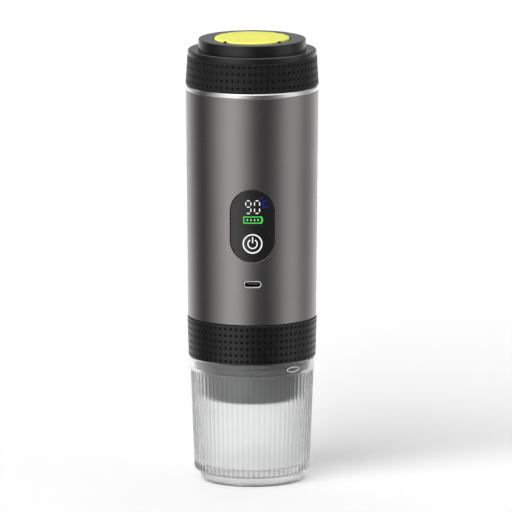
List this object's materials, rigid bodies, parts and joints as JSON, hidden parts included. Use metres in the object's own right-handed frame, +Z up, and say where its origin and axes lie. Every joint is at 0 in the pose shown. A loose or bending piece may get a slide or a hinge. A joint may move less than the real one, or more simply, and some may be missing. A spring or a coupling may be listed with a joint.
{
  "type": "portable espresso maker",
  "caption": "Slim battery espresso maker: metal body with display, gripped screw lid with vent button, brew head and ribbed cup below.",
  "frame": {"origin": "middle of the cup's foot, on the surface it stands on", "axes": "+Z up along the body's axis, -Y towards the display side, +X to the right of someone who faces the display"},
  "size_m": [0.0702, 0.0702, 0.2367],
  "materials": {
    "cup_frosted": "frosted translucent copolyester",
    "chamber_grey": "fine matte moulding",
    "steel_plain": "plain drawn stainless steel",
    "steel_polished": "polished",
    "gunmetal": "satin anodised gunmetal",
    "silicone_black": "matte silicone with moulded dimples",
    "plastic_black": "fine matte moulding",
    "silicone_clear": "natural silicone",
    "silicone_red": "brick red silicone",
    "button_yellow": "satin moulding",
    "lens_smoke": "smoked, polished",
    "light_white": "milky light guide",
    "board_green": "solder mask",
    "cell_wrap": "shrink wrap",
    "brass_plain": "turned",
    "acetal_cream": "moulded",
    "aluminium_plain": "cast and milled"
  },
  "bodies": {
    "cup": {"cup": "cup_frosted"},
    "brew_head": {"brew_chamber": "chamber_grey", "keeper_ring": "plastic_black", "cup_seal": "silicone_black", "spout": "silicone_black"},
    "filter": {"coffee_basket": "steel_plain"},
    "collar": {"collar_core": "plastic_black", "collar_grip": "silicone_black"},
    "main_body": {"body_tube": "gunmetal", "trim_ring": "steel_polished", "neck_ring": "plastic_black", "group_head": "plastic_black", "head_gasket": "silicone_red", "shower_screen": "steel_plain", "screen_screw": "steel_plain", "water_tank": "steel_plain", "heater_plate": "aluminium_plain", "temp_sensor": "silicone_clear", "lower_chassis_plate": "plastic_black", "upper_chassis_plate": "plastic_black", "chassis_posts": "brass_plain", "battery_cell_1": "cell_wrap", "battery_cell_2": "cell_wrap", "battery_cell_3": "cell_wrap", "cell_link": "steel_plain", "main_board": "board_green", "display_lens": "lens_smoke", "light_ring": "light_white", "display_board": "board_green", "digit_module": "plastic_black", "switch_housing": "plastic_black", "usb_shell": "steel_plain", "usb_tongue": "plastic_black", "usb_board": "board_green", "pump_motor": "steel_plain", "pump_housing": "plastic_black", "pump_cover": "plastic_black", "pump_screws": "steel_plain", "idler_pin": "steel_plain", "suction_pipe": "silicone_clear", "delivery_pipe": "silicone_clear"},
    "power_key": {"power_button": "lens_smoke", "switch_plunger": "plastic_black"},
    "pump_drive": {"motor_shaft": "steel_plain", "drive_gear": "acetal_cream"},
    "pump_idler": {"idler_gear": "acetal_cream"},
    "lid_stopper": {"lid_plug": "plastic_black", "lid_gasket": "silicone_clear", "plug_clip": "steel_plain", "vent_spring": "silicone_clear"},
    "lid": {"lid_shell": "plastic_black", "lid_disc": "plastic_black", "lid_grip": "silicone_black"},
    "vent": {"vent_button": "button_yellow", "vent_stem": "steel_plain", "vent_seal": "silicone_clear"}
  },
  "joints": [
    {"name": "cup_release", "type": "slide", "parent": "cup", "child": "brew_head", "axis": [0, 0, 1], "range_m": [0, 0.06]},
    {"name": "collar_turn", "type": "hinge", "parent": "brew_head", "child": "collar", "pos_m": [0, 0, 0.078], "axis": [0, 0, -1], "range_deg": [0, 720]},
    {"name": "body_rise", "type": "slide", "parent": "brew_head", "child": "main_body", "axis": [0, 0, 1], "range_m": [0, 0.032]},
    {"name": "filter_lift", "type": "slide", "parent": "brew_head", "child": "filter", "axis": [0, 0, 1], "range_m": [0, 0.0192]},
    {"name": "lid_rise", "type": "slide", "parent": "main_body", "child": "lid_stopper", "axis": [0, 0, 1], "range_m": [0, 0.032]},
    {"name": "lid_turn", "type": "hinge", "parent": "lid_stopper", "child": "lid", "pos_m": [0, 0, 0.22], "axis": [0, 0, 1], "range_deg": [0, 720]},
    {"name": "vent_press", "type": "slide", "parent": "lid", "child": "vent", "axis": [0, 0, -1], "range_m": [0, 0.0012], "stiffness_N_per_m": 800, "springref_m": -0.002, "deforming": ["vent_spring"]},
    {"name": "power_press", "type": "slide", "parent": "main_body", "child": "power_key", "axis": [0, 1, 0], "range_m": [0, 0.0005], "stiffness_N_per_m": 600, "springref_m": -0.001},
    {"name": "motor_spin", "type": "hinge", "parent": "main_body", "child": "pump_drive", "pos_m": [0, -0.002, 0.105], "axis": [0, 0, 1], "continuous": true},
    {"name": "idler_spin", "type": "hinge", "parent": "main_body", "child": "pump_idler", "pos_m": [0, -0.01, 0.105], "axis": [0, 0, 1], "continuous": true}
  ],
  "couplings": [
    {"joint": "collar_turn", "follows": "body_rise", "rad_per_m": 392.7},
    {"joint": "filter_lift", "follows": "body_rise", "ratio": 0.6},
    {"joint": "lid_turn", "follows": "lid_rise", "rad_per_m": 392.7},
    {"joint": "idler_spin", "follows": "motor_spin", "ratio": -1}
  ]
}
